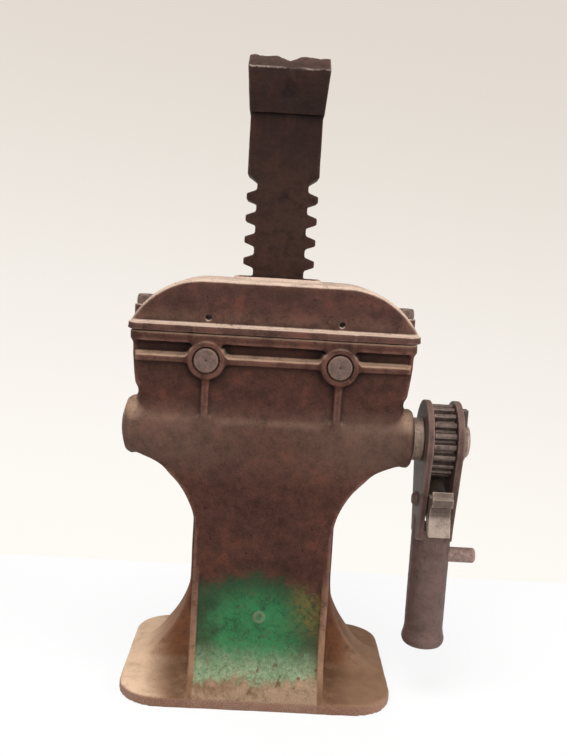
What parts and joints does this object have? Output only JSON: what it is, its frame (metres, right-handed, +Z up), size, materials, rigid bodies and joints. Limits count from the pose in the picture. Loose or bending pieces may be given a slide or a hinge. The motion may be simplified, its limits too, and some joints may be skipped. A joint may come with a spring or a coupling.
{
  "type": "railroad track jack",
  "caption": "Double-worm rack jack: a cast iron column with a toothed lifting bar raised by two pinions, and a ratchet handle at its side.",
  "frame": {"origin": "centre of the flat underside of the base, on the line of the lifting bar", "axes": "+X to the side that carries the ratchet handle, +Y to the back, +Z up along the lifting bar"},
  "size_m": [0.3401, 0.188, 0.5979],
  "materials": {
    "cast_body": "rough sand-cast iron, brown patina, dust on upward faces",
    "cast_cover": "rough sand-cast iron, brown patina",
    "bolt_steel": "dull rusted steel",
    "bar_steel": "forged steel, nearly black, worn edges",
    "gear_steel": "oily cut steel",
    "wheel_iron": "cut cast iron",
    "pin_steel": "turned steel, brown",
    "shaft_steel": "turned steel",
    "bush_bronze": "bronze",
    "collar_steel": "turned steel, brown-grey",
    "ratchet_steel": "cut steel, grey with bright crowns",
    "cotter_steel": "dark forged steel",
    "handle_iron": "cast iron, purplish brown-grey, smooth",
    "peg_steel": "turned steel, brown",
    "pawl_steel": "forged steel, light grey-tan where thumbed"
  },
  "bodies": {
    "root": {"body_casting": "cast_body", "gear_cover": "cast_cover", "cover_bolts": "bolt_steel", "left_wheel_pin": "pin_steel", "right_wheel_pin": "pin_steel", "pin_washers": "pin_steel", "left_bush": "bush_bronze", "right_bush": "bush_bronze", "tube_plug": "cast_cover"},
    "bar": {"lifting_bar": "bar_steel"},
    "left_wheels": {"left_worm_wheel": "wheel_iron", "left_pinion": "gear_steel", "left_wheel_key": "pin_steel"},
    "right_wheels": {"right_worm_wheel": "wheel_iron", "right_pinion": "gear_steel", "right_wheel_key": "pin_steel"},
    "worm": {"worm_shaft": "shaft_steel", "left_worm": "gear_steel", "right_worm": "gear_steel", "worm_pins": "pin_steel", "shaft_collar": "collar_steel", "collar_pin": "pin_steel", "ratchet_wheel": "ratchet_steel", "ratchet_key": "pin_steel", "end_collar": "collar_steel", "end_cotter": "cotter_steel"},
    "handle": {"handle": "handle_iron", "crank_peg": "peg_steel", "pawl_pin": "pin_steel", "pawl_plunger": "pin_steel", "pawl_spring": "pin_steel"},
    "pawl": {"pawl": "pawl_steel"}
  },
  "joints": [
    {"name": "worm_spin", "type": "hinge", "parent": "root", "child": "worm", "pos_m": [0, -0.042, 0.25433], "axis": [1, 0, 0], "range_deg": [-6480, 4320]},
    {"name": "bar_lift", "type": "slide", "parent": "root", "child": "bar", "axis": [0, 0, 1], "range_m": [-0.14963, 0.09976]},
    {"name": "left_wheel_turn", "type": "hinge", "parent": "root", "child": "left_wheels", "pos_m": [-0.06032, 0, 0.321], "axis": [0, -1, 0], "range_deg": [-270.01, 180.01]},
    {"name": "right_wheel_turn", "type": "hinge", "parent": "root", "child": "right_wheels", "pos_m": [0.06032, 0, 0.321], "axis": [0, 1, 0], "range_deg": [-270.01, 180.01]},
    {"name": "handle_swing", "type": "hinge", "parent": "root", "child": "handle", "pos_m": [0.1604, -0.042, 0.25433], "axis": [1, 0, 0], "continuous": true},
    {"name": "pawl_rock", "type": "hinge", "parent": "handle", "child": "pawl", "pos_m": [0.1604, -0.042, 0.19632], "axis": [1, 0, 0], "range_deg": [-35, 10]}
  ],
  "couplings": [
    {"joint": "bar_lift", "follows": "worm_spin", "m_per_rad": 0.0013229},
    {"joint": "left_wheel_turn", "follows": "worm_spin", "ratio": 0.041667},
    {"joint": "right_wheel_turn", "follows": "worm_spin", "ratio": 0.041667}
  ]
}
